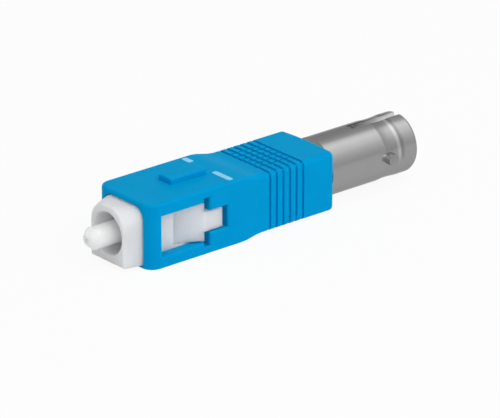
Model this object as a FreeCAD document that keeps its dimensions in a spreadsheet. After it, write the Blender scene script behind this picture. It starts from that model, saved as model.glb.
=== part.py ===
"""Hybrid fibre adapter: square push-pull plug to round bayonet receptacle.

The origin is on the optical axis, in the plane of the plug frame's front face. +X runs along the
optical axis towards the receptacle's mouth, +Z is the side with the key, and sizes are millimetres.
"""
import FreeCAD, Part
import math
import os

import Sketcher

SIZES = {
    # Coupling housing, with its places counted from its own front
    "housing_setback": 2.17,
    "housing_length": 26.0,
    "housing_width": 9.0,
    "housing_top": 3.78,
    "housing_bottom": 3.66,
    "side_wall": 1.18,
    "floor_wall": 0.35,
    "nose_length": 12.75,
    "nose_round": 1.45,
    "edge_round": 0.3,
    "grip_round": 0.6,
    "shoulder_length": 3.0,
    "shoulder_drop_top": 0.4,
    "shoulder_drop_bottom": 0.2,
    "shoulder_drop_side": 0.12,
    "rear_bow_radius": 33.0,
    "rear_round": 0.4,
    "rear_wall": 2.4,
    # T window in each side wall, with an ear at each rear corner of its wide part
    "window_setback": 1.7,
    "window_wide_length": 6.55,
    "window_stem_length": 2.5,
    "window_wide_height": 4.6,
    "window_stem_height": 2.5,
    "ear_length": 0.75,
    "ear_height": 0.45,
    "window_bevel": 0.16,
    # Key bar on the upper face
    "key_setback": 5.75,
    "key_length": 4.85,
    "key_width": 2.1,
    "key_height": 0.62,
    "key_round": 0.22,
    # Grooves of the grip, counted from the end of the shoulder
    "groove_setback": 0.7,
    "groove_pitch": 0.93,
    "groove_width": 0.4,
    "groove_depth": 0.22,
    "groove_count": 6,
    "hatch_width": 0.26,
    "hatch_pitch": 0.93,
    "hatch_count": 6,
    # Plug frame
    "frame_gap": 0.12,
    "frame_taper": 0.45,
    "frame_round": 1.3,
    "frame_nose_flat": 0.45,
    "frame_nose_bevel": 0.1,
    "step_setback": 0.5,
    "recess_setback": 2.5,
    "recess_depth": 0.42,
    "recess_length": 0.75,
    "boss_sink": 0.25,
    "boss_gap": 0.15,
    "nose_wall": 0.35,
    "bore_lead": 0.1,
    "front_bore_depth": 4.3,
    "partition_thickness": 0.7,
    "partition_clearance": 0.35,
    "frame_rear_side_wall": 0.69,
    "frame_rear_top_wall": 0.39,
    # Travel of the coupling housing along the plug frame, and the play left at its stop
    "slide_travel": 0.6,
    "stop_gap": 0.04,
    # Ferrules, fibre, flange and spring
    "ferrule_diameter": 2.5,
    "ferrule_protrusion": 2.8,
    "ferrule_length": 10.5,
    "tip_cone_length": 0.8,
    "tip_diameter": 1.4,
    "tip_dome": 0.14,
    "ferrule_groove_width": 0.6,
    "ferrule_groove_depth": 0.2,
    "fibre_diameter": 0.125,
    "fibre_gap": 0.002,
    "collar_clearance": 0.21,
    "collar_thickness": 2.0,
    "tail_wall": 0.34,
    "tail_room": 0.25,
    "float_travel": 0.8,
    "wire_diameter": 0.44,
    "coil_pitch": 2.45,
    # Receptacle barrel, with the places near its mouth counted from the mouth
    "barrel_length": 12.8,
    "barrel_wall": 0.85,
    "barrel_bevel": 0.35,
    "shoulder_gap": 0.1,
    "stem_wall": 0.55,
    "stem_length": 13.5,
    "stem_clearance": 0.2,
    "socket_diameter": 5.2,
    "socket_depth": 7.3,
    "socket_lead": 0.25,
    "rim_round": 0.35,
    "band_start": 4.75,
    "band_width": 2.95,
    "band_depth": 0.085,
    "keyway_width": 1.1,
    "keyway_margin": 0.1,
    "lug_setback": 4.1,
    "lug_diameter": 1.35,
    "lug_height": 0.65,
    # Split sleeve and its stop
    "sleeve_length": 11.4,
    "sleeve_wall": 0.355,
    "sleeve_slot": 0.5,
    "sleeve_play": 0.05,
    "sleeve_clearance": 0.13,
    "lip_clearance": 0.2,
    "lip_length": 0.95,
    "stop_length": 0.9,
    "press_gap": 0.01,
    "slip_gap": 0.015,
}

doc = FreeCAD.newDocument("hybrid_fibre_adapter")
sheet = doc.addObject("Spreadsheet::Sheet", "sizes")


class Length:
    """A length that carries its formula in sheet cells beside its present value."""

    def __init__(self, formula, value):
        self.formula = formula
        self.value = value

    def __add__(self, other):
        other = as_length(other)
        return Length(f"({self.formula} + {other.formula})", self.value + other.value)

    def __sub__(self, other):
        other = as_length(other)
        return Length(f"({self.formula} - {other.formula})", self.value - other.value)

    def __mul__(self, other):
        other = as_length(other)
        return Length(f"({self.formula} * {other.formula})", self.value * other.value)

    def __truediv__(self, other):
        other = as_length(other)
        return Length(f"({self.formula} / {other.formula})", self.value / other.value)

    def __neg__(self):
        return Length(f"(-1 * {self.formula})", -self.value)


def as_length(number):
    """A plain number as a length, so that it can stand in a formula."""
    if isinstance(number, Length):
        return number
    return Length(str(number), float(number))


def fill_sheet():
    """Write each driving size to the sheet as a named cell."""
    for row, (alias, value) in enumerate(SIZES.items(), start=1):
        sheet.set(f"A{row}", alias)
        sheet.set(f"B{row}", str(value))
        sheet.setAlias(f"B{row}", alias)
    doc.recompute()


def size(alias):
    """The named cell as a length."""
    return Length(f"sizes.{alias}", float(sheet.get(alias)))


def bind(thing, name, length):
    """Tie one property of a document object to a formula."""
    thing.setExpression(name, as_length(length).formula)


def new_body(label):
    body = doc.addObject("PartDesign::Body", label)
    body.Label = label
    return body


def origin_part(body, role):
    return next(part for part in body.Origin.OriginFeatures if part.Role == role)


def pin_point(sketch, geometry, end, place):
    """Hold one point of a sketch at a place given as two lengths."""
    for kind, length, axis in (("DistanceX", place[0], -2), ("DistanceY", place[1], -1)):
        length = as_length(length)
        if length.formula == "0":
            sketch.addConstraint(Sketcher.Constraint("PointOnObject", geometry, end, axis))
            continue
        pin = Sketcher.Constraint(kind, -1, 1, geometry, end, length.value)
        index = sketch.addConstraint(pin)
        sketch.setExpression(f"Constraints[{index}]", length.formula)


def polygon(*corners):
    """A closed outline of straight sides, each corner held by two lengths."""

    def draw(sketch):
        places = [FreeCAD.Vector(as_length(x).value, as_length(y).value, 0) for x, y in corners]
        first = sketch.GeometryCount
        count = len(places)
        for i in range(count):
            sketch.addGeometry(Part.LineSegment(places[i], places[(i + 1) % count]), False)
        for i in range(count):
            after = first + (i + 1) % count
            sketch.addConstraint(Sketcher.Constraint("Coincident", first + i, 2, after, 1))
        for i, corner in enumerate(corners):
            pin_point(sketch, first + i, 1, corner)

    return draw


def rectangle(low_x, high_x, low_y, high_y):
    return polygon((low_x, low_y), (high_x, low_y), (high_x, high_y), (low_x, high_y))


def rounded_rectangle(low_x, high_x, low_y, high_y, radius):
    """A rectangle whose four corners are arcs of one radius, tangent to the sides."""

    def draw(sketch):
        r = radius.value
        x0, x1, y0, y1 = low_x.value, high_x.value, low_y.value, high_y.value
        first = sketch.GeometryCount
        ends = (
            ((x0 + r, y0), (x1 - r, y0)),
            ((x1, y0 + r), (x1, y1 - r)),
            ((x1 - r, y1), (x0 + r, y1)),
            ((x0, y1 - r), (x0, y0 + r)),
        )
        for (ax, ay), (bx, by) in ends:
            line = Part.LineSegment(FreeCAD.Vector(ax, ay, 0), FreeCAD.Vector(bx, by, 0))
            sketch.addGeometry(line, False)
        centres = ((x1 - r, y0 + r), (x1 - r, y1 - r), (x0 + r, y1 - r), (x0 + r, y0 + r))
        for i, (cx, cy) in enumerate(centres):
            whole = Part.Circle(FreeCAD.Vector(cx, cy, 0), FreeCAD.Vector(0, 0, 1), r)
            begin = (i - 1) * math.pi / 2
            sketch.addGeometry(Part.ArcOfCircle(whole, begin, begin + math.pi / 2), False)
        for i in range(4):
            arc = first + 4 + i
            sketch.addConstraint(Sketcher.Constraint("Tangent", first + i, 2, arc, 1))
            sketch.addConstraint(Sketcher.Constraint("Tangent", arc, 2, first + (i + 1) % 4, 1))
            held = sketch.addConstraint(Sketcher.Constraint("Radius", arc, r))
            sketch.setExpression(f"Constraints[{held}]", radius.formula)
            sketch.addConstraint(Sketcher.Constraint(("Horizontal", "Vertical")[i % 2], first + i))
        sides = (("DistanceY", low_y), ("DistanceX", high_x), ("DistanceY", high_y), ("DistanceX", low_x))
        for i, (kind, length) in enumerate(sides):
            held = sketch.addConstraint(Sketcher.Constraint(kind, -1, 1, first + i, 1, length.value))
            sketch.setExpression(f"Constraints[{held}]", length.formula)

    return draw


def arched_rectangle(side, height, radius):
    """A rectangle about the axis whose two upper corners are arcs, tangent to the sides."""

    def draw(sketch):
        s, h, r = side.value, height.value, radius.value
        first = sketch.GeometryCount
        ends = (
            ((-s, -h), (s, -h)),
            ((s, -h), (s, h - r)),
            ((s - r, h), (r - s, h)),
            ((-s, h - r), (-s, -h)),
        )
        for (ax, ay), (bx, by) in ends:
            line = Part.LineSegment(FreeCAD.Vector(ax, ay, 0), FreeCAD.Vector(bx, by, 0))
            sketch.addGeometry(line, False)
        for i, cx in enumerate((s - r, r - s)):
            whole = Part.Circle(FreeCAD.Vector(cx, h - r, 0), FreeCAD.Vector(0, 0, 1), r)
            begin = i * math.pi / 2
            sketch.addGeometry(Part.ArcOfCircle(whole, begin, begin + math.pi / 2), False)
            held = sketch.addConstraint(Sketcher.Constraint("Radius", first + 4 + i, r))
            sketch.setExpression(f"Constraints[{held}]", radius.formula)
        sketch.addConstraint(Sketcher.Constraint("Coincident", first, 2, first + 1, 1))
        sketch.addConstraint(Sketcher.Constraint("Coincident", first + 3, 2, first, 1))
        for before, after in ((1, 4), (4, 2), (2, 5), (5, 3)):
            sketch.addConstraint(Sketcher.Constraint("Tangent", first + before, 2, first + after, 1))
        for i in range(4):
            sketch.addConstraint(Sketcher.Constraint(("Horizontal", "Vertical")[i % 2], first + i))
        pins = (("DistanceX", -side, 0, 1), ("DistanceY", -height, 0, 1),
                ("DistanceX", side, 0, 2), ("DistanceY", height, 2, 1))
        for kind, length, line, end in pins:
            held = sketch.addConstraint(Sketcher.Constraint(kind, -1, 1, first + line, end, length.value))
            sketch.setExpression(f"Constraints[{held}]", length.formula)

    return draw


def circle(centre, radius):
    """A full circle held by its centre and radius."""

    def draw(sketch):
        place = FreeCAD.Vector(as_length(centre[0]).value, as_length(centre[1]).value, 0)
        index = sketch.addGeometry(Part.Circle(place, FreeCAD.Vector(0, 0, 1), radius.value), False)
        pin_point(sketch, index, 3, centre)
        held = sketch.addConstraint(Sketcher.Constraint("Radius", index, radius.value))
        sketch.setExpression(f"Constraints[{held}]", radius.formula)

    return draw


def new_sketch(body, name, plane, *loops, shift=None):
    """A sketch on one of the body's own planes, moved along that plane's normal by shift."""
    sketch = body.newObject("Sketcher::SketchObject", name)
    sketch.AttachmentSupport = [(origin_part(body, plane), "")]
    sketch.MapMode = "FlatFace"
    if shift is not None:
        bind(sketch, "AttachmentOffset.Base.z", shift)
    for draw in loops:
        draw(sketch)
    doc.recompute()
    return sketch


def pad(body, name, sketch, length, both_ways=False):
    feature = body.newObject("PartDesign::Pad", name)
    feature.Profile = sketch
    bind(feature, "Length", length)
    if both_ways:
        feature.SideType = "Symmetric"
    doc.recompute()
    return feature


def cut(body, name, sketch, length=None, both_ways=False):
    """A pocket along the sketch's normal, or through all both ways where no length is given."""
    feature = body.newObject("PartDesign::Pocket", name)
    feature.Profile = sketch
    if length is None:
        feature.Type = "ThroughAll"
    else:
        bind(feature, "Length", length)
    if length is None or both_ways:
        feature.SideType = "Symmetric"
    else:
        feature.Reversed = True
    doc.recompute()
    return feature


def turn(body, name, sketch, kind="Revolution"):
    """A revolution, or a groove that cuts, about the optical axis."""
    feature = body.newObject(f"PartDesign::{kind}", name)
    feature.Profile = sketch
    feature.ReferenceAxis = (sketch, ["H_Axis"])
    doc.recompute()
    return feature


def repeat(body, name, original, axis, pitch, count):
    """A row of copies of a feature along one of the body's axes."""
    row = body.newObject("PartDesign::LinearPattern", name)
    row.Originals = [original]
    row.Direction = (origin_part(body, axis), [""])
    row.Mode = "Spacing"
    bind(row, "Offset", pitch)
    bind(row, "Occurrences", count)
    body.Tip = row
    doc.recompute()
    return row


def soften(body, name, amount, wanted, kind="Fillet"):
    """A fillet, or a chamfer, along each edge of the body's present shape that the test wants."""
    base = body.Tip
    edges = [f"Edge{i}" for i, edge in enumerate(base.Shape.Edges, start=1) if wanted(edge)]
    feature = body.newObject(f"PartDesign::{kind}", name)
    feature.Base = (base, edges)
    bind(feature, {"Fillet": "Radius", "Chamfer": "Size"}[kind], amount)
    doc.recompute()
    return feature


def spans(edge, axis):
    """How far an edge reaches along an axis."""
    box = edge.BoundBox
    return {"x": box.XLength, "y": box.YLength, "z": box.ZLength}[axis]


fill_sheet()

# Shared places and sizes, worked out from the driving sizes
half_width = size("housing_width") / 2
top = size("housing_top")
bottom = -size("housing_bottom")
front = size("housing_setback")
rear = front + size("housing_length")
shoulder_start = front + size("nose_length")
grip_start = shoulder_start + size("shoulder_length")
grip_half_width = half_width - size("shoulder_drop_side")
grip_top = top - size("shoulder_drop_top")
grip_bottom = bottom + size("shoulder_drop_bottom")
cavity_end = rear - size("rear_wall")
window_front = front + size("window_setback")
window_wide_end = window_front + size("window_wide_length")
window_stem_end = window_wide_end + size("window_stem_length")

protrusion = size("ferrule_protrusion")
ferrule_radius = size("ferrule_diameter") / 2
held_radius = ferrule_radius + size("press_gap")
lip_radius = ferrule_radius + size("lip_clearance")
tail_radius = held_radius + size("tail_wall")
sleeve_inner = ferrule_radius + size("slip_gap")
sleeve_outer = sleeve_inner + size("sleeve_wall")
sleeve_bore_radius = sleeve_outer + size("sleeve_clearance")
stem_radius = sleeve_bore_radius + size("stem_wall")
chamber_radius = stem_radius + size("press_gap")
socket_radius = size("socket_diameter") / 2
barrel_radius = socket_radius + size("barrel_wall")

gap = size("frame_gap")
stop_room = size("slide_travel") + size("stop_gap")
frame_half_width = half_width - size("side_wall") - gap
frame_half_height = size("housing_bottom") - size("floor_wall") - gap
nose_half_width = frame_half_width - size("frame_taper")
frame_step = window_stem_end + size("step_setback")
frame_end = cavity_end - stop_room - gap
frame_rear_half_width = chamber_radius + size("frame_rear_side_wall")
frame_rear_half_height = chamber_radius + size("frame_rear_top_wall")
chamber_start = size("front_bore_depth") + size("partition_thickness")
collar_rear = chamber_start + size("collar_thickness")

barrel_start = rear + size("shoulder_gap")
mouth = barrel_start + size("barrel_length")
stem_front = barrel_start - size("stem_length")
socket_floor = mouth - size("socket_depth")
lip_start = socket_floor - size("lip_length")
sleeve_end = lip_start - size("sleeve_play")
sleeve_start = sleeve_end - size("sleeve_length")
contact_plane = sleeve_start + size("sleeve_length") / 2
stop_end = sleeve_start - size("sleeve_play")
stop_start = stop_end - size("stop_length")
tail_end = stop_start - size("float_travel") - size("tail_room")
reach = size("housing_width")
tiny = 1e-6

# The shoulder's S, as shares of its length and of its drop
SHOULDER_STEPS = ((0.25, 0.16), (0.5, 0.5), (0.75, 0.84), (1, 1))


def make_housing():
    """Moulded sleeve: nose block, shoulder, bowed grip, cavity, windows, key bar and grooves."""
    body = new_body("coupling_housing")
    nose = rectangle(-half_width, half_width, bottom, top)
    pad(body, "nose_block", new_sketch(body, "nose_section", "YZ_Plane", nose, shift=front),
        shoulder_start - front)

    def upright_front(edge):
        return spans(edge, "z") > spans(edge, "y") and edge.BoundBox.XMax < shoulder_start.value - tiny

    def rim_front(edge):
        level = spans(edge, "z") < tiny
        return level and edge.BoundBox.XMin < shoulder_start.value - tiny

    soften(body, "nose_corners", size("nose_round"), upright_front)
    soften(body, "nose_edges", size("edge_round"), rim_front)

    wide = rounded_rectangle(-half_width, half_width, bottom, top, size("edge_round"))
    sections = []
    for along, down in SHOULDER_STEPS:
        side = half_width - size("shoulder_drop_side") * down
        low = bottom + size("shoulder_drop_bottom") * down
        high = top - size("shoulder_drop_top") * down
        radius = size("edge_round") * (1 - down) + size("grip_round") * down
        slim = rounded_rectangle(-side, side, low, high, radius)
        place = shoulder_start + size("shoulder_length") * along
        name = f"shoulder_step_{len(sections) + 1}"
        sections.append(new_sketch(body, name, "YZ_Plane", slim, shift=place))
    shoulder = body.newObject("PartDesign::AdditiveLoft", "shoulder")
    shoulder.Profile = new_sketch(body, "shoulder_wide", "YZ_Plane", wide, shift=shoulder_start)
    shoulder.Sections = sections
    shoulder.Ruled = True
    body.Tip = shoulder
    doc.recompute()
    grip_sketch = new_sketch(body, "grip_section", "YZ_Plane", slim, shift=grip_start)
    pad(body, "grip_block", grip_sketch, rear - grip_start)

    bow = size("rear_bow_radius")
    bow_centre = rear - bow
    beyond = bow + reach
    outside = rectangle(bow_centre - beyond, bow_centre + beyond, -beyond, beyond)
    kept = circle((bow_centre, 0), bow)
    cut(body, "rear_bow", new_sketch(body, "rear_bow_plan", "XY_Plane", outside, kept))

    def rim_rear(edge):
        reaches = [math.hypot(end.X - bow_centre.value, end.Y) for end in edge.Vertexes]
        return all(abs(distance - bow.value) < tiny for distance in reaches)

    soften(body, "rear_rim", size("rear_round"), rim_rear)
    hollow_housing(body)
    add_key(body)
    groove_grip(body)
    return body


def hollow_housing(body):
    """The stepped cavity for the plug frame, the rear hole for the stem and the two T windows."""
    cavity_start = front - size("nose_round")
    cavity_step = frame_step + stop_room + gap
    section = arched_rectangle(frame_half_width + gap, frame_half_height + gap, size("frame_round") + gap)
    sketch = new_sketch(body, "front_cavity_section", "YZ_Plane", section, shift=cavity_start)
    cut(body, "front_cavity", sketch, cavity_step - cavity_start)
    side = frame_rear_half_width + gap
    height = frame_rear_half_height + gap
    section = rectangle(-side, side, -height, height)
    sketch = new_sketch(body, "rear_cavity_section", "YZ_Plane", section, shift=frame_step)
    cut(body, "rear_cavity", sketch, cavity_end - frame_step)
    hole = circle((0, 0), stem_radius + size("stem_clearance"))
    sketch = new_sketch(body, "stem_hole_section", "YZ_Plane", hole, shift=frame_step)
    cut(body, "stem_hole", sketch, rear + reach)

    wide = size("window_wide_height") / 2
    stem = size("window_stem_height") / 2
    ear = wide + size("ear_height")
    ear_start = window_wide_end - size("ear_length")
    upper = (
        (window_stem_end, stem),
        (window_wide_end, stem),
        (window_wide_end, ear),
        (ear_start, ear),
        (ear_start, wide),
        (window_front, wide),
    )
    lower = tuple((x, -z) for x, z in reversed(upper))
    cut(body, "side_windows", new_sketch(body, "window_outline", "XZ_Plane", polygon(*lower, *upper)))

    def window_rim(edge):
        box = edge.BoundBox
        on_side = abs(abs(box.Center.y) - half_width.value) < tiny and box.YLength < tiny
        within = box.XMin > window_front.value - tiny and box.XMax < window_stem_end.value + tiny
        return on_side and within and abs(box.Center.z) < ear.value + tiny

    soften(body, "window_rims", size("window_bevel"), window_rim, "Chamfer")


def add_key(body):
    """The key bar on the upper face, with its upper edges rounded."""
    begin = front + size("key_setback")
    half = size("key_width") / 2
    root = size("edge_round")
    bar = rectangle(begin, begin + size("key_length"), -half, half)
    sketch = new_sketch(body, "key_plan", "XY_Plane", bar, shift=top - root)
    pad(body, "key_bar", sketch, size("key_height") + root)

    def key_edge(edge):
        return edge.BoundBox.ZMin > top.value + tiny

    soften(body, "key_edges", size("key_round"), key_edge)


def groove_grip(body):
    """Grooves right round the grip, crossed by lengthwise grooves on its upper and lower faces."""
    depth = size("groove_depth")
    side = grip_half_width - depth
    high = grip_top - depth
    low = grip_bottom + depth
    first = grip_start + size("groove_setback")
    width = size("groove_width")
    pitch, count = size("groove_pitch"), size("groove_count")
    outside = rectangle(-reach, reach, -reach, reach)
    kept = rectangle(-side, side, low, high)
    sketch = new_sketch(body, "ring_groove_section", "YZ_Plane", outside, kept, shift=first)
    ring = cut(body, "ring_groove", sketch, width)
    repeat(body, "ring_grooves", ring, "X_Axis", pitch, count)

    half = size("hatch_width") / 2
    line_pitch, line_count = size("hatch_pitch"), size("hatch_count")
    line_y = -line_pitch * (line_count - 1) / 2
    upper = rectangle(line_y - half, line_y + half, high, top + reach)
    lower = rectangle(line_y - half, line_y + half, bottom - reach, low)
    sketch = new_sketch(body, "hatch_section", "YZ_Plane", upper, lower, shift=first)
    line = cut(body, "hatch_line", sketch, pitch * (count - 1) + width)
    repeat(body, "hatch_lines", line, "Y_Axis", line_pitch, line_count)


def both_sides(*corners):
    """An outline on the +Y side and its mirror image on the -Y side."""
    mirrored = [(x, -as_length(y)) for x, y in reversed(corners)]
    return polygon(*corners), polygon(*mirrored)


def make_frame():
    """Moulded frame: tapered nose, latch recesses, T bosses and the stepped bore."""
    body = new_body("plug_frame")
    bevel, nose_round = size("frame_nose_bevel"), nose_half_width - size("frame_nose_flat")
    face = arched_rectangle(nose_half_width - bevel, frame_half_height - bevel, nose_round - bevel)
    slim = arched_rectangle(nose_half_width, frame_half_height, nose_round)
    full = arched_rectangle(frame_half_width, frame_half_height, size("frame_round"))
    nose = body.newObject("PartDesign::AdditiveLoft", "frame_nose")
    nose.Profile = new_sketch(body, "frame_face_section", "YZ_Plane", face)
    nose.Sections = [
        new_sketch(body, "frame_nose_section", "YZ_Plane", slim, shift=bevel),
        new_sketch(body, "frame_front_section", "YZ_Plane", full, shift=front),
    ]
    nose.Ruled = True
    body.Tip = nose
    doc.recompute()
    sketch = new_sketch(body, "frame_section", "YZ_Plane", full, shift=front)
    pad(body, "frame_block", sketch, frame_step - front)
    section = rectangle(
        -frame_rear_half_width, frame_rear_half_width, -frame_rear_half_height, frame_rear_half_height
    )
    sketch = new_sketch(body, "frame_rear_section", "YZ_Plane", section, shift=frame_step)
    pad(body, "frame_rear_block", sketch, frame_end - frame_step)

    floor = frame_half_width - size("recess_depth")
    level = half_width - size("boss_sink")
    wide_rear = window_wide_end - stop_room
    stem_rear = window_stem_end - stop_room
    wide_height = size("window_wide_height") - size("boss_gap") * 2
    stem_height = size("window_stem_height") - size("boss_gap") * 2
    begin = window_front + size("recess_setback")
    recess = both_sides((begin, floor), (wide_rear, floor), (wide_rear, reach), (begin, reach))
    cut(body, "latch_recess", new_sketch(body, "recess_plan", "XY_Plane", *recess), wide_height, True)
    ramp = both_sides((begin + size("recess_length"), floor), (wide_rear, floor), (wide_rear, level))
    pad(body, "latch_ramp", new_sketch(body, "ramp_plan", "XY_Plane", *ramp), wide_height, True)
    stem = both_sides((wide_rear, floor), (stem_rear, floor), (stem_rear, level), (wide_rear, level))
    pad(body, "boss_stem", new_sketch(body, "stem_plan", "XY_Plane", *stem), stem_height, True)

    nose_bore = nose_half_width - size("nose_wall")
    hole = ferrule_radius + size("partition_clearance")
    lead = size("bore_lead")
    depth = size("front_bore_depth")
    bore = polygon(
        (0, 0),
        (0, nose_bore + lead),
        (lead, nose_bore),
        (depth, nose_bore),
        (depth, hole),
        (chamber_start, hole),
        (chamber_start, chamber_radius),
        (frame_end, chamber_radius),
        (frame_end, 0),
    )
    turn(body, "frame_bore", new_sketch(body, "frame_bore_profile", "XZ_Plane", bore), "Groove")
    return body


def make_ferrule(label, tip_place, direction, held_from):
    """Ceramic ferrule with a coned tip, a fibre hole and, where its holder starts, a glue groove."""
    body = new_body(label)
    bind(body, "Placement.Base.x", tip_place)
    hole = size("fibre_diameter") / 2 + size("fibre_gap")
    length = size("ferrule_length")
    tip = size("tip_diameter") / 2
    dome = size("tip_dome")
    held_to = held_from + size("ferrule_groove_width")
    neck = ferrule_radius - size("ferrule_groove_depth")
    corners = (
        (as_length(0), hole),
        (as_length(0), tip - dome * 2),
        (dome, tip),
        (size("tip_cone_length"), ferrule_radius),
        (held_from, ferrule_radius),
        (held_from, neck),
        (held_to, neck),
        (held_to, ferrule_radius),
        (length, ferrule_radius),
        (length, hole),
    )
    if direction < 0:
        corners = tuple((-x, y) for x, y in corners)
    turn(body, label + "_turned", new_sketch(body, label + "_profile", "XZ_Plane", polygon(*corners)))
    return body


def make_flange():
    """Metal collar that seats on the partition, with a tail tube that holds the rear ferrule."""
    body = new_body("ferrule_flange")
    collar_radius = chamber_radius - size("collar_clearance")
    profile = polygon(
        (chamber_start, held_radius),
        (chamber_start, collar_radius),
        (collar_rear, collar_radius),
        (collar_rear, tail_radius),
        (tail_end, tail_radius),
        (tail_end, held_radius),
    )
    turn(body, "flange_turned", new_sketch(body, "flange_profile", "XZ_Plane", profile))
    return body


def make_spring():
    """Compression spring between the collar and the barrel's stem, its wire drawn with six flats."""
    body = new_body("ferrule_spring")
    wire = size("wire_diameter") / 2
    coil_radius = (tail_radius + chamber_radius) / 2
    middle = collar_rear + wire
    flank, half = wire * math.sqrt(0.75), wire * 0.5
    section = polygon(
        (middle - wire, coil_radius),
        (middle - half, coil_radius - flank),
        (middle + half, coil_radius - flank),
        (middle + wire, coil_radius),
        (middle + half, coil_radius + flank),
        (middle - half, coil_radius + flank),
    )
    sketch = new_sketch(body, "wire_section", "XZ_Plane", section)
    coil = body.newObject("PartDesign::AdditiveHelix", "coil")
    coil.Profile = sketch
    coil.ReferenceAxis = (sketch, ["H_Axis"])
    coil.Mode = "pitch-height-angle"
    bind(coil, "Pitch", size("coil_pitch"))
    bind(coil, "Height", stem_front - collar_rear - wire * 2)
    doc.recompute()
    return body


def make_barrel():
    """Turned and plated barrel: pressed stem, bevel, socket, rim, turned band, keyway and bayonet lugs."""
    body = new_body("receptacle_barrel")
    bevel = size("barrel_bevel")
    rim = size("rim_round")
    rim_middle = rim * (1 - math.sqrt(0.5))
    lead = size("socket_lead")
    profile = polygon(
        (stem_front, sleeve_bore_radius),
        (stem_front, stem_radius),
        (barrel_start, stem_radius),
        (barrel_start, barrel_radius - bevel),
        (barrel_start + bevel, barrel_radius),
        (mouth - rim, barrel_radius),
        (mouth - rim_middle, barrel_radius - rim_middle),
        (mouth, barrel_radius - rim),
        (mouth, socket_radius + lead),
        (mouth - lead, socket_radius),
        (socket_floor, socket_radius),
        (socket_floor, lip_radius),
        (lip_start, lip_radius),
        (lip_start, sleeve_bore_radius),
    )
    turn(body, "barrel_turned", new_sketch(body, "barrel_profile", "XZ_Plane", profile))
    depth = size("band_depth")
    half = size("band_width") / 2
    band_round = (half * half + depth * depth) / (depth * 2)
    band_centre = (mouth - size("band_start") + half, barrel_radius - depth + band_round)
    band = new_sketch(body, "band_section", "XZ_Plane", circle(band_centre, band_round))
    turn(body, "turned_band", band, "Groove")
    half = size("keyway_width") / 2
    slot = rectangle(socket_floor + size("keyway_margin"), mouth + reach, -half, half)
    cut(body, "keyway", new_sketch(body, "keyway_plan", "XY_Plane", slot), barrel_radius + reach)
    root = (socket_radius + barrel_radius) / 2
    section = circle((mouth - size("lug_setback"), 0), size("lug_diameter") / 2)
    sketch = new_sketch(body, "lug_section", "XZ_Plane", section, shift=root)
    lug = pad(body, "lug", sketch, barrel_radius + size("lug_height") - root)
    pair = body.newObject("PartDesign::Mirrored", "lug_pair")
    pair.Originals = [lug]
    pair.MirrorPlane = (origin_part(body, "XZ_Plane"), [""])
    body.Tip = pair
    doc.recompute()
    return body


def make_split_sleeve():
    """Ceramic sleeve with one lengthwise slot, which lines up two ferrules."""
    body = new_body("split_sleeve")
    profile = rectangle(sleeve_start, sleeve_end, sleeve_inner, sleeve_outer)
    turn(body, "sleeve_turned", new_sketch(body, "sleeve_profile", "XZ_Plane", profile))
    half = size("sleeve_slot") / 2
    slot = rectangle(sleeve_start - reach, sleeve_end + reach, -half, half)
    cut(body, "sleeve_slot_cut", new_sketch(body, "sleeve_slot_plan", "XY_Plane", slot), reach)
    return body


def make_sleeve_stop():
    """Bush pressed into the stem ahead of the split sleeve."""
    body = new_body("sleeve_stop")
    outer = sleeve_bore_radius - size("press_gap")
    profile = rectangle(stop_start, stop_end, lip_radius, outer)
    turn(body, "stop_turned", new_sketch(body, "stop_profile", "XZ_Plane", profile))
    return body


def make_fibre():
    """The glass fibre, from the front ferrule's tip to the rear ferrule's tip."""
    fibre = doc.addObject("Part::Cylinder", "fibre_stub")
    fibre.Label = "fibre_stub"
    fibre.Placement.Rotation = FreeCAD.Rotation(FreeCAD.Vector(0, 1, 0), 90)
    bind(fibre, "Placement.Base.x", -protrusion)
    bind(fibre, "Radius", size("fibre_diameter") / 2)
    bind(fibre, "Height", contact_plane + protrusion)
    doc.recompute()
    return fibre


def write_parts(pieces):
    """Stop on any failed object or bad shape, then write one STEP file for each piece."""
    doc.recompute()
    failed = [item.Name for item in doc.Objects if {"Invalid", "Error"} & set(item.State)]
    if failed:
        raise RuntimeError("failed objects: " + ", ".join(failed))
    for piece in pieces:
        if piece.Shape.isNull() or not piece.Shape.isValid():
            raise RuntimeError("bad shape: " + piece.Label)
    os.makedirs("parts", exist_ok=True)
    for piece in pieces:
        piece.Shape.exportStep(f"parts/{piece.Label}.step")


write_parts(
    [
        make_housing(),
        make_frame(),
        make_ferrule("front_ferrule", -protrusion, 1, size("front_bore_depth") + protrusion),
        make_ferrule("rear_ferrule", contact_plane, -1, contact_plane - tail_end),
        make_flange(),
        make_spring(),
        make_fibre(),
        make_barrel(),
        make_split_sleeve(),
        make_sleeve_stop(),
    ]
)
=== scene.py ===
"""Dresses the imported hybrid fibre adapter: finishes for each solid, painted marks, stage and camera."""
import math

import bpy
import numpy as np
from mathutils import Matrix, Vector


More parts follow.
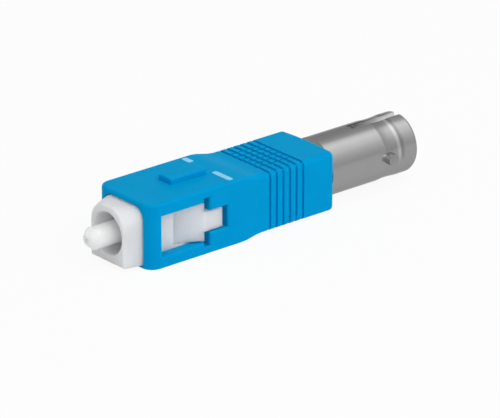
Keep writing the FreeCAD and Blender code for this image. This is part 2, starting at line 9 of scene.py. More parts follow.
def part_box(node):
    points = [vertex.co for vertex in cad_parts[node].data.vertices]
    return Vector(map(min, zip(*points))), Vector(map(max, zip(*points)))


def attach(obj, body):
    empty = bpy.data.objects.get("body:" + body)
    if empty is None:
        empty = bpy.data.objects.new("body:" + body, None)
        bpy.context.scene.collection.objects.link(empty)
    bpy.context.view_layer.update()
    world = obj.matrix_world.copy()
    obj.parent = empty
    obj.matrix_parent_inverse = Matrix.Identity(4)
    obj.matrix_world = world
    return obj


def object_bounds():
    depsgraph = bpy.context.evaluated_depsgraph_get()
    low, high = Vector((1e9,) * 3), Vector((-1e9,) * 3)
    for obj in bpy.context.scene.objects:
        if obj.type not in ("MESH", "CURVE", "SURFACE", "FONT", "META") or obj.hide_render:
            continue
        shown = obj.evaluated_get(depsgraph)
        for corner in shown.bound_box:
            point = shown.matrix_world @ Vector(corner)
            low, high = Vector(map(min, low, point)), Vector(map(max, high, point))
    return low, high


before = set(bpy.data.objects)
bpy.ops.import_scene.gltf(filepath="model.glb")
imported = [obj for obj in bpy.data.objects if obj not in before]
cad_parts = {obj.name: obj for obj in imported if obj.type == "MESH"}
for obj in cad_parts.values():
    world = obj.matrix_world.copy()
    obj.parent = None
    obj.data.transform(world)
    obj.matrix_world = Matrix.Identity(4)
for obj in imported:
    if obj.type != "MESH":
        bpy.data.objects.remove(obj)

bl_info = {
    "name": "Hybrid fibre adapter",
    "version": (1, 0, 0),
    "blender": (4, 5, 0),
    "location": "View3D > Sidebar > Adapter",
    "description": "Finishes, painted marks, stage and camera for a hybrid fibre adapter",
    "category": "Object",
}

MM = 0.001
CAD_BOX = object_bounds()
HOUSING_LOW, HOUSING_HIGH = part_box("coupling_housing")
FRAME_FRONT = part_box("plug_frame")[0][0]
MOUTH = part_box("receptacle_barrel")[1][0]

# The key bar's height above the housing's upper face, which carries the painted marks
KEY_HEIGHT = 0.62 * MM

# Powers that square a mark's outline and flatten its crown
MARK_CORNER, MARK_CROWN = 0.35, 0.45

# Photo frame, and the pixel at which the photo shows the middle of the part's axis
IMAGE_WIDTH, IMAGE_HEIGHT = 500.0, 418.0
AXIS_MIDDLE = Vector((21.17 * MM, 0.0, 0.0))
AXIS_PIXEL = (260.27, 184.62)

# The camera's sensor width, in the millimetres that its lens is given in, and its nearest and farthest view
SENSOR = 36.0
CLIP_NEAR, CLIP_FAR = 0.01, 20.0

# The sky's grey from the camera's side to the far side, as (share of the way, grey)
SKY_STOPS = (
    (0.0, 0.58), (0.10, 0.36), (0.17, 0.55), (0.30, 0.82), (0.44, 1.0), (0.54, 0.85), (0.60, 0.42),
    (0.75, 0.31), (1.0, 0.31))

# The share of an even grey in the sky from the plug's end to the receptacle's end, where the strip stops
END_STOPS = ((0.0, 0.8), (0.4, 0.0), (0.84, 0.0), (0.88, 1.0), (1.0, 1.0))
END_GREY = 0.46

# The share of a bright sky that metal mirrors towards the plug's end
GLOW_STOPS = ((0.0, 1.0), (0.55, 1.0), (0.7, 0.0), (1.0, 0.0))
GLOW_GREY = 0.8

# The share of a pale haze in the seen sky, by height above the horizon
HAZE_STOPS = ((0.0, 1.0), (0.03, 1.0), (0.11, 0.0), (1.0, 0.0))
HAZE_GREY = 0.8

# The floor's half width, its gap below the part and its grey
FLOOR_HALF, FLOOR_GAP, FLOOR_GREY = 1.2, 0.01 * MM, 0.9

# The soft box: its place from the axis's middle, its width and its power in watts
LAMP_OFFSET = Vector((-0.02, -0.52, 0.36))
LAMP_WIDTH, LAMP_WATTS = 0.40, 1.25

# Noise per metre, for the slow drift of a moulding's colour and the stain on turned metal
DRIFT_SCALE, STAIN_SCALE = 260.0, 420.0

# Lathe lines: the small share of Y and Z that draws noise out round the axis, and their part in the roughness
LINE_SQUEEZE, LINE_SHARE = 0.01, 0.7

# Widths of the paint's grain beside the mould's, and of ground and drawn lines beside the lathe's
PAINT_GRAIN, GROUND_LINES, DRAWN_LINES = 2.0, 0.5, 3.0

# Bores painted lighter where shade falls: their reach from the axis, and the socket's depth from the mouth
SOCKET_REACH, SOCKET_DEPTH = 3.3 * MM, 7.4 * MM
GUIDE_REACH = 2.42 * MM

# Painted light in the barrel's groove, outside a radius, from a setback before the mouth and over a span: a
# painted shade from the groove's front edge, then a painted highlight (over a half) and a painted shade
# (under it) on its rear slope
OUTSIDE = 3.34 * MM
GROOVE_SHADING_SETBACK, GROOVE_SHADING_SPAN = 5.0 * MM, 3.6 * MM
GROOVE_SHADING_STOPS = (
    (0.0, 0.5), (0.06, 0.5), (0.13, 0.41), (0.30, 0.43), (0.54, 0.47), (0.64, 0.69), (0.685, 0.69),
    (0.74, 0.36), (0.79, 0.37), (0.89, 0.5), (1.0, 0.5))

# The share of that painted highlight and shade from the barrel's underside to its top
SHADING_FADE_STOPS = ((0.0, 0.0), (0.33, 0.0), (0.56, 1.0), (1.0, 1.0))

# Gains in the plating's colour: a painted highlight on the lugs' walls, between two radii, and a painted
# shade at the barrel's root
LUG_FOOT, LUG_TOP, LUG_HIGHLIGHT_GAIN = 3.47 * MM, 4.09 * MM, 1.5
ROOT_SHADE_SETBACK, ROOT_SHADE_GAIN = 12.44 * MM, 0.4

# Sockets of the finish groups, as (name, kind, default) and (name, kind)
FINISH_INPUTS = (
    ("Place", "NodeSocketVector", (0.0, 0.0, 0.0)),
    ("Colour", "NodeSocketColor", (1.0, 1.0, 1.0, 1.0)),
    ("Scale", "NodeSocketFloat", 8000.0),
    ("Drift", "NodeSocketFloat", 0.05),
    ("Base Roughness", "NodeSocketFloat", 0.3),
    ("Roughness Spread", "NodeSocketFloat", 0.1))
FINISH_OUTPUTS = (
    ("Colour", "NodeSocketColor"), ("Roughness", "NodeSocketFloat"), ("Height", "NodeSocketFloat"))


class AdapterFinish(bpy.types.PropertyGroup):
    """Colours and surface figures of the finishes."""

    blue: bpy.props.FloatVectorProperty(
        name="Housing blue", description="Colour of the moulded coupling housing",
        subtype="COLOR", size=4, default=(0.0, 0.322, 0.655, 1.0), min=0.0, max=1.0)
    white: bpy.props.FloatVectorProperty(
        name="Frame white", description="Colour of the moulded plug frame",
        subtype="COLOR", size=4, default=(0.77, 0.785, 0.80, 1.0), min=0.0, max=1.0)
    # Painted light: a lighter white for the frame's bore, where shade falls
    guide: bpy.props.FloatVectorProperty(
        name="Frame bore", description="Colour of the paint_lightened bore round the ferrule",
        subtype="COLOR", size=4, default=(0.95, 0.955, 0.96, 1.0), min=0.0, max=1.0)
    ceramic: bpy.props.FloatVectorProperty(
        name="Ceramic", description="Colour of the ground ferrules and sleeve",
        subtype="COLOR", size=4, default=(0.80, 0.81, 0.81, 1.0), min=0.0, max=1.0)
    metal: bpy.props.FloatVectorProperty(
        name="Plating", description="Colour of the plated, turned barrel",
        subtype="COLOR", size=4, default=(0.315, 0.315, 0.315, 1.0), min=0.0, max=1.0)
    # Painted light: a lighter grey for the barrel's bore, where shade falls
    bore: bpy.props.FloatVectorProperty(
        name="Bore", description="Colour of the paint_brightened bore",
        subtype="COLOR", size=4, default=(0.62, 0.62, 0.62, 1.0), min=0.0, max=1.0)
    wire: bpy.props.FloatVectorProperty(
        name="Spring wire", description="Colour of the drawn spring wire",
        subtype="COLOR", size=4, default=(0.36, 0.36, 0.37, 1.0), min=0.0, max=1.0)
    glass: bpy.props.FloatVectorProperty(
        name="Fibre glass", description="Colour of the fibre in the ferrules",
        subtype="COLOR", size=4, default=(0.55, 0.62, 0.66, 1.0), min=0.0, max=1.0)
    paint: bpy.props.FloatVectorProperty(
        name="Mark paint", description="Colour of the two painted marks",
        subtype="COLOR", size=4, default=(0.28, 0.70, 0.95, 1.0), min=0.0, max=1.0)
    grain: bpy.props.FloatProperty(
        name="Mould grain", description="Spacing of the fine grain on moulded faces",
        subtype="DISTANCE", unit="LENGTH", default=0.12 * MM, min=0.01 * MM)
    turning: bpy.props.FloatProperty(
        name="Turning pitch", description="Spacing of the lathe's lines on turned metal",
        subtype="DISTANCE", unit="LENGTH", default=0.06 * MM, min=0.01 * MM)


class AdapterMarks(bpy.types.PropertyGroup):
    """Places and sizes of the two painted marks on the upper face."""

    place: bpy.props.FloatProperty(
        name="Place", description="Distance of the marks behind the housing's front",
        subtype="DISTANCE", unit="LENGTH", default=11.55 * MM)
    right: bpy.props.FloatProperty(
        name="Right mark", description="Distance of the long mark's middle from the axis",
        subtype="DISTANCE", unit="LENGTH", default=2.55 * MM)
    right_length: bpy.props.FloatProperty(
        name="Right length", description="Length of the long mark across the housing",
        subtype="DISTANCE", unit="LENGTH", default=2.95 * MM, min=0.1 * MM)
    left: bpy.props.FloatProperty(
        name="Left mark", description="Distance of the short mark's middle from the axis",
        subtype="DISTANCE", unit="LENGTH", default=3.3 * MM)
    left_length: bpy.props.FloatProperty(
        name="Left length", description="Length of the short mark across the housing",
        subtype="DISTANCE", unit="LENGTH", default=1.4 * MM, min=0.1 * MM)
    width: bpy.props.FloatProperty(
        name="Width", description="Width of each mark along the housing",
        subtype="DISTANCE", unit="LENGTH", default=0.7 * MM, min=0.1 * MM)
    height: bpy.props.FloatProperty(
        name="Paint height", description="How far the paint stands above the face",
        subtype="DISTANCE", unit="LENGTH", default=0.03 * MM, min=0.001 * MM)


class AdapterStage(bpy.types.PropertyGroup):
    """Camera and light."""

    azimuth: bpy.props.FloatProperty(
        name="Azimuth", description="Camera's turn about the upright axis",
        subtype="ANGLE", unit="ROTATION", default=math.radians(-40.22))
    elevation: bpy.props.FloatProperty(
        name="Elevation", description="Camera's height above the horizon",
        subtype="ANGLE", unit="ROTATION", default=math.radians(22.51))
    distance: bpy.props.FloatProperty(
        name="Distance", description="Depth of the axis's middle in front of the camera",
        subtype="DISTANCE", unit="LENGTH", default=490.7 * MM)
    focal_pixels: bpy.props.FloatProperty(
        name="Focal length", description="Focal length in pixels of the photo frame",
        subtype="PIXEL", default=4541.0)
    sky: bpy.props.FloatProperty(
        name="Sky", description="Strength of the studio's even light", default=1.27, min=0.0)
    mirrored_sky: bpy.props.FloatProperty(
        name="Mirrored sky", description="Strength of the sky where metal shows it", default=2.0, min=0.0)
    whiteness: bpy.props.FloatProperty(
        name="Floor whiteness", description="Share of plain white in the floor as it is seen",
        default=0.91, min=0.0, max=1.0)


# Surfaces

def signed_power(values, power):
    """Sizes raised to a power, with their signs kept."""
    return np.sign(values) * np.abs(values) ** power


def closed_grid(rows, columns):
    """Faces of a grid that closes round its columns and has a pole below and above."""
    index = np.arange(rows * columns).reshape(rows, columns)
    after = np.roll(index, -1, axis=1)
    quads = np.stack((index[:-1], after[:-1], after[1:], index[1:]), axis=-1).reshape(-1, 4)
    low = rows * columns
    high = low + 1
    floor = np.stack((after[0], index[0], np.full(columns, low)), axis=-1)
    roof = np.stack((index[-1], after[-1], np.full(columns, high)), axis=-1)
    return quads.tolist() + floor.tolist() + roof.tolist()


def pillow(middle, halves, corner, crown, around=72, over=17):
    """Closed pillow: x = a c(v) c(u), y = b c(v) s(u), z = h s(v), each cosine and sine raised to a
    small power that squares the outline (corner) and flattens the crown (crown)."""
    u = np.linspace(0.0, 2.0 * np.pi, around, endpoint=False)
    v = np.linspace(-np.pi / 2, np.pi / 2, over)[1:-1, None]
    ring = signed_power(np.cos(v), crown)
    x = halves[0] * ring * signed_power(np.cos(u), corner)
    y = halves[1] * ring * signed_power(np.sin(u), corner)
    z = halves[2] * signed_power(np.sin(v), crown) * np.ones_like(u)
    body = np.stack((x, y, z), axis=-1).reshape(-1, 3)
    poles = np.array(((0.0, 0.0, -halves[2]), (0.0, 0.0, halves[2])))
    return np.vstack((body, poles)) + np.asarray(middle), closed_grid(over - 2, around)


def new_piece(name, points, faces, material, body):
    """A smooth mesh object at the origin that rides on a body."""
    mesh = bpy.data.meshes.new(name)
    mesh.from_pydata(points.tolist(), [], faces)
    mesh.polygons.foreach_set("use_smooth", np.ones(len(mesh.polygons), dtype=bool))
    mesh.materials.append(material)
    mesh.update()
    piece = bpy.data.objects.new(name, mesh)
    bpy.context.scene.collection.objects.link(piece)
    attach(piece, body)
    return piece


# Shader nodes

def feed(tree, socket, value):
    """Link an input to another socket, or set a plain value on it."""
    if isinstance(value, bpy.types.NodeSocket):
        tree.links.new(value, socket)
    else:
        socket.default_value = value


def set_figures(node, figures):
    """Set plain values on a node's inputs, by their names."""
    for label, value in figures.items():
        node.inputs[label].default_value = value


def math_node(tree, operation, first, second):
    """A Math node whose inputs are sockets or plain numbers."""
    node = tree.nodes.new("ShaderNodeMath")
    node.operation = operation
    feed(tree, node.inputs[0], first)
    feed(tree, node.inputs[1], second)
    return node.outputs[0]


def spread(tree, base, mask, amount):
    """A base figure plus a mask times an amount."""
    return math_node(tree, "ADD", base, math_node(tree, "MULTIPLY", mask, amount))


def half_share(tree, value):
    """A figure from -1 to 1 as a share from 0 to 1."""
    return spread(tree, 0.5, value, 0.5)


def scaled(tree, colour, gain):
    """A colour times a gain."""
    node = tree.nodes.new("ShaderNodeVectorMath")
    node.operation = "SCALE"
    feed(tree, node.inputs[0], colour)
    feed(tree, node.inputs["Scale"], gain)
    return node.outputs["Vector"]


def stretched(tree, place, shares):
    """A place with its X, Y and Z each times a share."""
    node = tree.nodes.new("ShaderNodeVectorMath")
    node.operation = "MULTIPLY"
    feed(tree, node.inputs[0], place)
    feed(tree, node.inputs[1], shares)
    return node.outputs["Vector"]


def split_place(tree, place):
    """A place's X, Y and Z."""
    node = tree.nodes.new("ShaderNodeSeparateXYZ")
    feed(tree, node.inputs[0], place)
    return node.outputs


def axis_distance(tree, place):
    """Distance of a place from the part's axis: the length of its Y and Z."""
    node = tree.nodes.new("ShaderNodeVectorMath")
    node.operation = "LENGTH"
    feed(tree, node.inputs[0], stretched(tree, place, (0.0, 1.0, 1.0)))
    return node.outputs["Value"]


def noise(tree, place, scale, detail, roughness):
    """Noise from 0 to 1, at a scale per metre."""
    node = tree.nodes.new("ShaderNodeTexNoise")
    feed(tree, node.inputs["Vector"], place)
    feed(tree, node.inputs["Scale"], scale)
    set_figures(node, {"Detail": detail, "Roughness": roughness})
    return node.outputs["Fac"]


def grey(value):
    """An opaque grey."""
    return (value, value, value, 1.0)


def grey_ramp(tree, share, stops):
    """A smooth ramp of greys, given as (share of the way, grey)."""
    ramp = tree.nodes.new("ShaderNodeValToRGB")
    ramp.color_ramp.interpolation = "EASE"
    while len(ramp.color_ramp.elements) < len(stops):
        ramp.color_ramp.elements.new(0.5)
    for stop, (place, value) in zip(ramp.color_ramp.elements, stops):
        stop.position = place
        stop.color = grey(value)
    tree.links.new(share, ramp.inputs["Fac"])
    return ramp.outputs["Color"]


def mixed_colour(tree, share, first, second):
    """A mix of two colours, each a socket or a plain colour, by a share of the second."""
    node = tree.nodes.new("ShaderNodeMix")
    node.data_type = "RGBA"
    for socket, value in zip((node.inputs[0], node.inputs[6], node.inputs[7]), (share, first, second)):
        feed(tree, socket, value)
    return node.outputs[2]


def mixed_shader(tree, share, first, second):
    """A mix of two shaders by a share of the second."""
    node = tree.nodes.new("ShaderNodeMixShader")
    for socket, value in zip(node.inputs, (share, first, second)):
        tree.links.new(value, socket)
    return node.outputs[0]


def background(tree, colour, strength):
    """A sky shader of a colour, a socket or a plain one, at a strength."""
    node = tree.nodes.new("ShaderNodeBackground")
    feed(tree, node.inputs["Color"], colour)
    node.inputs["Strength"].default_value = strength
    return node.outputs[0]


def seen_rays(tree):
    """1 for the rays that show the background as it is: straight from the camera, mirrored or let through."""
    rays = tree.nodes.new("ShaderNodeLightPath")
    seen = math_node(tree, "MAXIMUM", rays.outputs["Is Camera Ray"], rays.outputs["Is Glossy Ray"])
    return math_node(tree, "MAXIMUM", seen, rays.outputs["Is Transmission Ray"])


# Shader groups

def new_group(name):
    """A finish group with its named sockets and nothing between them."""
    group = bpy.data.node_groups.new(name, "ShaderNodeTree")
    for label, kind, default in FINISH_INPUTS:
        socket = group.interface.new_socket(label, in_out="INPUT", socket_type=kind)
        socket.default_value = default
    for label, kind in FINISH_OUTPUTS:
        group.interface.new_socket(label, in_out="OUTPUT", socket_type=kind)
    return group, group.nodes.new("NodeGroupInput").outputs, group.nodes.new("NodeGroupOutput").inputs


def put_out(group, given, end, drift, rough, height):
    """Feed a finish group's outputs: its colour times 1 - Drift to 1 + Drift by one mask, its roughness
    spread by another, and its height."""
    low = math_node(group, "SUBTRACT", 1.0, given["Drift"])
    span = math_node(group, "MULTIPLY", given["Drift"], 2.0)
    shade = spread(group, low, drift, span)
    roughness = spread(group, given["Base Roughness"], rough, given["Roughness Spread"])
    group.links.new(scaled(group, given["Colour"], shade), end["Colour"])
    group.links.new(roughness, end["Roughness"])
    group.links.new(height, end["Height"])


def mould_group(name):
    """Moulded plastic: colour drifts slowly, and a fine spark-eroded grain gives roughness and height."""
    group, given, end = new_group(name)
    slow = noise(group, given["Place"], DRIFT_SCALE, detail=3.0, roughness=0.5)
    fine = noise(group, given["Place"], given["Scale"], detail=2.0, roughness=0.6)
    put_out(group, given, end, drift=slow, rough=fine, height=fine)
    return group


def turned_group(name):
    """Turned metal: lines round the axis from noise that is squeezed along X, with a slow stain on top."""
    group, given, end = new_group(name)
    across = stretched(group, given["Place"], (1.0, LINE_SQUEEZE, LINE_SQUEEZE))
    lines = noise(group, across, given["Scale"], detail=3.0, roughness=0.7)
    stain = noise(group, given["Place"], STAIN_SCALE, detail=4.0, roughness=0.6)
    mixed = spread(group, math_node(group, "MULTIPLY", lines, LINE_SHARE), stain, 1.0 - LINE_SHARE)
    put_out(group, given, end, drift=stain, rough=mixed, height=lines)
    return group


def moulded_grain():
    """The moulded plastic's group, made once."""
    return bpy.data.node_groups.get("moulded_grain") or mould_group("moulded_grain")


def turned_lines():
    """The turned metal's group, made once."""
    return bpy.data.node_groups.get("turned_lines") or turned_group("turned_lines")


# Materials

def surface_material(name, group, finish_figures, bump_figures, shader_figures):
    """A Principled material fed by a shared group, with the constant figures set on the shader itself."""
    material = bpy.data.materials.new(name)
    material.use_nodes = True
    tree = material.node_tree
    shader = next(node for node in tree.nodes if node.type == "BSDF_PRINCIPLED")
    place = tree.nodes.new("ShaderNodeTexCoord")
    finish = tree.nodes.new("ShaderNodeGroup")
    finish.node_tree = group
    bump = tree.nodes.new("ShaderNodeBump")
    set_figures(finish, finish_figures)
    set_figures(bump, bump_figures)
    set_figures(shader, shader_figures)
    tree.links.new(place.outputs["Object"], finish.inputs["Place"])
    tree.links.new(finish.outputs["Colour"], shader.inputs["Base Color"])
    tree.links.new(finish.outputs["Roughness"], shader.inputs["Roughness"])
    tree.links.new(finish.outputs["Height"], bump.inputs["Height"])
    tree.links.new(bump.outputs["Normal"], shader.inputs["Normal"])
    return material


def finish_ends(material):
    """A material's nodes, the place that they read and the colour that its finish group takes."""
    tree = material.node_tree
    place = next(node for node in tree.nodes if node.type == "TEX_COORD")
    finish = next(node for node in tree.nodes if node.type == "GROUP")
    return tree, place.outputs["Object"], finish.inputs["Colour"]


def brighten_bore(material, begin, reach, outer, inner):
    """Painted light in a bore: the inner, lighter colour past a place along X and nearer to the axis than
    reach.
    """
    tree, place, colour = finish_ends(material)
    past = math_node(tree, "GREATER_THAN", split_place(tree, place)["X"], begin)
    within = math_node(tree, "LESS_THAN", axis_distance(tree, place), reach)
    inside = math_node(tree, "MULTIPLY", past, within)
    tree.links.new(mixed_colour(tree, inside, outer, inner), colour)


def paint_barrel_shading(material):
    """Painted light on the plating: painted highlights and shade across the groove, a painted highlight on
    the lugs' walls and a painted shade at the root.
    """
    tree, place, colour = finish_ends(material)
    split = split_place(tree, place)
    radius = axis_distance(tree, place)
    # Painted highlight and shade across the groove, strongest on the barrel's top
    past = math_node(tree, "SUBTRACT", split["X"], MOUTH - GROOVE_SHADING_SETBACK)
    sheen_and_shade = grey_ramp(tree, math_node(tree, "DIVIDE", past, GROOVE_SHADING_SPAN), GROOVE_SHADING_STOPS)
    change = math_node(tree, "MULTIPLY", math_node(tree, "SUBTRACT", sheen_and_shade, 0.5), 2.0)
    height = math_node(tree, "DIVIDE", split["Z"], OUTSIDE)
    fade = grey_ramp(tree, half_share(tree, height), SHADING_FADE_STOPS)
    outside = math_node(tree, "MULTIPLY", fade, math_node(tree, "GREATER_THAN", radius, OUTSIDE))
    # Painted highlight on the lugs' walls
    above = math_node(tree, "GREATER_THAN", radius, LUG_FOOT)
    wall = math_node(tree, "MULTIPLY", above, math_node(tree, "LESS_THAN", radius, LUG_TOP))
    # Painted shade at the barrel's root, next to the housing
    root = math_node(tree, "LESS_THAN", split["X"], MOUTH - ROOT_SHADE_SETBACK)
    gain = spread(tree, 1.0, outside, change)
    gain = spread(tree, gain, wall, LUG_HIGHLIGHT_GAIN - 1.0)
    gain = spread(tree, gain, root, ROOT_SHADE_GAIN - 1.0)
    tree.links.new(scaled(tree, colour.links[0].from_socket, gain), colour)


def dress(node, material):
    """Give a carried-over solid its finish."""
    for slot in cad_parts[node].material_slots:
        slot.material = material


class ADAPTER_OT_housing(bpy.types.Operator):
    """Give the coupling housing its moulded blue finish"""

    bl_idname = "adapter.finish_housing"
    bl_label = "Finish the coupling housing"

    def execute(self, context):
        finish = context.scene.adapter_finish
        blue = surface_material(
            "moulded_blue", moulded_grain(),
            {"Colour": finish.blue, "Scale": 1.0 / finish.grain, "Drift": 0.04,
             "Base Roughness": 0.34, "Roughness Spread": 0.16},
            {"Strength": 0.12, "Distance": 0.02 * MM},
            {"Specular IOR Level": 0.012, "IOR": 1.5, "Subsurface Weight": 0.6,
             "Subsurface Scale": 0.6 * MM, "Subsurface Radius": (0.3, 0.8, 1.0)})
        dress("coupling_housing", blue)
        return {"FINISHED"}


class ADAPTER_OT_marks(bpy.types.Operator):
    """Paint the two marks across the housing's upper face"""

    bl_idname = "adapter.paint_marks"
    bl_label = "Paint the marks"

    def execute(self, context):
        finish = context.scene.adapter_finish
        marks = context.scene.adapter_marks
        paint = surface_material(
            "mark_paint", moulded_grain(),
            {"Colour": finish.paint, "Scale": 1.0 / (finish.grain * PAINT_GRAIN), "Drift": 0.06,
             "Base Roughness": 0.45, "Roughness Spread": 0.1},
            {"Strength": 0.2, "Distance": 0.02 * MM},
            {"Specular IOR Level": 0.2})
        face = HOUSING_HIGH[2] - KEY_HEIGHT
        for name, across, length in (
                ("mark_right", -marks.right, marks.right_length),
                ("mark_left", marks.left, marks.left_length)):
            middle = (HOUSING_LOW[0] + marks.place, across, face)
            halves = (marks.width / 2, length / 2, marks.height)
            points, faces = pillow(middle, halves, MARK_CORNER, MARK_CROWN)
            new_piece(name, points, faces, paint, "housing")
        return {"FINISHED"}


class ADAPTER_OT_plug(bpy.types.Operator):
    """Give the plug frame and the ceramic pieces their finishes"""

    bl_idname = "adapter.finish_plug"
    bl_label = "Finish the plug frame and ferrules"

    def execute(self, context):
        finish = context.scene.adapter_finish
        white = surface_material(
            "moulded_white", moulded_grain(),
            {"Colour": finish.white, "Scale": 1.0 / finish.grain, "Drift": 0.03,
             "Base Roughness": 0.4, "Roughness Spread": 0.15},
            {"Strength": 0.1, "Distance": 0.02 * MM},
            {"Specular IOR Level": 0.3, "IOR": 1.5, "Subsurface Weight": 1.0,
             "Subsurface Scale": 2.0 * MM, "Subsurface Radius": (1.0, 1.0, 1.0)})
        ceramic = surface_material(
            "ground_ceramic", turned_lines(),
            {"Colour": finish.ceramic, "Scale": 1.0 / (finish.turning * GROUND_LINES), "Drift": 0.02,
             "Base Roughness": 0.14, "Roughness Spread": 0.08},
            {"Strength": 0.04, "Distance": 0.01 * MM},
            {"Specular IOR Level": 0.55, "IOR": 1.9, "Subsurface Weight": 1.0,
             "Subsurface Scale": 2.0 * MM, "Subsurface Radius": (1.0, 1.0, 1.0)})
        # Painted light: the frame's bore round the ferrule takes a lighter colour than the frame
        brighten_bore(white, FRAME_FRONT, GUIDE_REACH, finish.white, finish.guide)
        dress("plug_frame", white)
        for node in ("front_ferrule", "rear_ferrule", "split_sleeve"):
            dress(node, ceramic)
        return {"FINISHED"}


class ADAPTER_OT_receptacle(bpy.types.Operator):
    """Give the plated barrel and the hidden inner pieces their finishes"""

    bl_idname = "adapter.finish_receptacle"
    bl_label = "Finish the receptacle"

    def execute(self, context):
        finish = context.scene.adapter_finish
        plated = surface_material(
            "turned_plating", turned_lines(),
            {"Colour": finish.metal, "Scale": 1.0 / finish.turning, "Drift": 0.05,
             "Base Roughness": 0.16, "Roughness Spread": 0.14},
            {"Strength": 0.05, "Distance": 0.01 * MM},
            {"Metallic": 1.0, "Specular Tint": grey(0.65)})
        wire = surface_material(
            "drawn_wire", turned_lines(),
            {"Colour": finish.wire, "Scale": 1.0 / (finish.turning * DRAWN_LINES), "Drift": 0.08,
             "Base Roughness": 0.22, "Roughness Spread": 0.12},
            {"Strength": 0.1, "Distance": 0.01 * MM},
            {"Metallic": 1.0})
        glass = surface_material(
            "fibre_glass", moulded_grain(),
            {"Colour": finish.glass, "Scale": 1.0 / finish.grain, "Drift": 0.02,
             "Base Roughness": 0.08, "Roughness Spread": 0.04},
            {"Strength": 0.02, "Distance": 0.01 * MM},
            {"Specular IOR Level": 0.5, "IOR": 1.46})
        # Painted light: a lighter bore than the plating, then painted highlights and shade on the barrel's
        # outside
        brighten_bore(plated, MOUTH - SOCKET_DEPTH, SOCKET_REACH, finish.metal, finish.bore)
        paint_barrel_shading(plated)
        for node in ("receptacle_barrel", "ferrule_flange", "sleeve_stop"):
            dress(node, plated)
        dress("ferrule_spring", wire)
        dress("fibre_stub", glass)
        return {"FINISHED"}


# Stage

def set_sky(stage):
    """A studio sky with a soft strip of light overhead. It lights the part at a plain level, and where it is
    seen or mirrored it is brighter, with a pale haze near the horizon."""
    world = bpy.data.worlds.new("studio_sky")
    bpy.context.scene.world = world
    world.use_nodes = True
    tree = world.node_tree
    tree.nodes.clear()
    place = tree.nodes.new("ShaderNodeTexCoord")
    split = split_place(tree, place.outputs["Generated"])
    along = half_share(tree, split["X"])
    across = grey_ramp(tree, half_share(tree, split["Y"]), SKY_STOPS)
    strip = mixed_colour(tree, grey_ramp(tree, along, END_STOPS), across, grey(END_GREY))
    mirrored = mixed_colour(tree, grey_ramp(tree, along, GLOW_STOPS), strip, grey(GLOW_GREY))
    light = background(tree, strip, stage.sky)
    shown = background(tree, mirrored, stage.mirrored_sky)
    haze = background(tree, grey(HAZE_GREY), 1.0)
    backdrop = mixed_shader(tree, grey_ramp(tree, split["Z"], HAZE_STOPS), shown, haze)
    out = tree.nodes.new("ShaderNodeOutputWorld")
    tree.links.new(mixed_shader(tree, seen_rays(tree), light, backdrop), out.inputs["Surface"])


def set_floor(stage):
    """A plain pale floor that keeps a soft shadow under the part."""
    level = CAD_BOX[0][2] - FLOOR_GAP
    sides = FLOOR_HALF * np.array(((-1.0, -1.0), (1.0, -1.0), (1.0, 1.0), (-1.0, 1.0)))
    corners = np.column_stack((sides, np.full(len(sides), level)))
    mesh = bpy.data.meshes.new("floor")
    mesh.from_pydata(corners.tolist(), [], [(0, 1, 2, 3)])
    material = bpy.data.materials.new("pale_floor")
    material.use_nodes = True
    tree = material.node_tree
    tree.nodes.clear()
    matt = tree.nodes.new("ShaderNodeBsdfDiffuse")
    matt.inputs["Color"].default_value = grey(FLOOR_GREY)
    white = tree.nodes.new("ShaderNodeEmission")
    white.inputs["Strength"].default_value = 1.0
    share = math_node(tree, "MULTIPLY", seen_rays(tree), stage.whiteness)
    out = tree.nodes.new("ShaderNodeOutputMaterial")
    tree.links.new(mixed_shader(tree, share, matt.outputs[0], white.outputs[0]), out.inputs["Surface"])
    mesh.materials.append(material)
    floor = bpy.data.objects.new("floor", mesh)
    bpy.context.scene.collection.objects.link(floor)


def set_lamp():
    """One wide soft box from the camera's side, aimed at the part."""
    lamp = bpy.data.lights.new("key", "AREA")
    lamp.shape = "SQUARE"
    lamp.size = LAMP_WIDTH
    lamp.energy = LAMP_WATTS
    box = bpy.data.objects.new("key", lamp)
    box.location = AXIS_MIDDLE + LAMP_OFFSET
    box.rotation_euler = (-LAMP_OFFSET).to_track_quat("-Z", "Y").to_euler()
    bpy.context.scene.collection.objects.link(box)


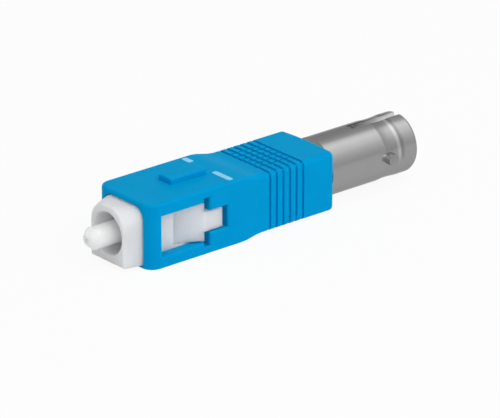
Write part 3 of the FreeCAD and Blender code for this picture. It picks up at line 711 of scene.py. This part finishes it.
def set_camera(stage):
    """The photo's camera: its turn, height and distance, moved so the axis falls on the photo's pixel."""
    turn, lift = stage.azimuth, stage.elevation
    back = Vector((math.sin(turn) * math.cos(lift), -math.cos(turn) * math.cos(lift), math.sin(lift)))
    right = Vector((math.cos(turn), math.sin(turn), 0.0))
    up = back.cross(right)
    pixel = stage.distance / stage.focal_pixels
    across = (AXIS_PIXEL[0] - IMAGE_WIDTH / 2) * pixel
    down = (AXIS_PIXEL[1] - IMAGE_HEIGHT / 2) * pixel
    data = bpy.data.cameras.new("photo_camera")
    data.sensor_width = SENSOR
    data.lens = stage.focal_pixels / IMAGE_WIDTH * SENSOR
    data.clip_start = CLIP_NEAR
    data.clip_end = CLIP_FAR
    camera = bpy.data.objects.new("photo_camera", data)
    axes = Matrix((right, up, back)).transposed().to_4x4()
    place = AXIS_MIDDLE + back * stage.distance - right * across + up * down
    camera.matrix_world = Matrix.Translation(place) @ axes
    bpy.context.scene.collection.objects.link(camera)
    bpy.context.scene.camera = camera


class ADAPTER_OT_stage(bpy.types.Operator):
    """Set out the floor, the light, the sky and the camera"""

    bl_idname = "adapter.set_stage"
    bl_label = "Set the stage"

    def execute(self, context):
        stage = context.scene.adapter_stage
        set_sky(stage)
        set_floor(stage)
        set_lamp()
        set_camera(stage)
        context.scene.view_settings.view_transform = "Standard"
        return {"FINISHED"}


# Add-on

OPERATORS = (
    ADAPTER_OT_housing, ADAPTER_OT_marks, ADAPTER_OT_plug, ADAPTER_OT_receptacle, ADAPTER_OT_stage)


class ADAPTER_PT_panel(bpy.types.Panel):
    """The adapter's steps and figures"""

    bl_idname = "ADAPTER_PT_panel"
    bl_label = "Hybrid fibre adapter"
    bl_space_type = "VIEW_3D"
    bl_region_type = "UI"
    bl_category = "Adapter"

    def draw(self, context):
        for step in OPERATORS:
            self.layout.operator(step.bl_idname)
        for group in ("adapter_finish", "adapter_marks", "adapter_stage"):
            column = self.layout.column()
            settings = getattr(context.scene, group)
            for name in settings.__annotations__:
                column.prop(settings, name)


CLASSES = (AdapterFinish, AdapterMarks, AdapterStage) + OPERATORS + (ADAPTER_PT_panel,)


def register():
    for item in CLASSES:
        bpy.utils.register_class(item)
    bpy.types.Scene.adapter_finish = bpy.props.PointerProperty(type=AdapterFinish)
    bpy.types.Scene.adapter_marks = bpy.props.PointerProperty(type=AdapterMarks)
    bpy.types.Scene.adapter_stage = bpy.props.PointerProperty(type=AdapterStage)


def unregister():
    del bpy.types.Scene.adapter_stage
    del bpy.types.Scene.adapter_marks
    del bpy.types.Scene.adapter_finish
    for item in reversed(CLASSES):
        bpy.utils.unregister_class(item)


def main():
    register()
    bpy.ops.adapter.finish_housing()
    bpy.ops.adapter.paint_marks()
    bpy.ops.adapter.finish_plug()
    bpy.ops.adapter.finish_receptacle()
    bpy.ops.adapter.set_stage()


if __name__ == "__main__":
    main()
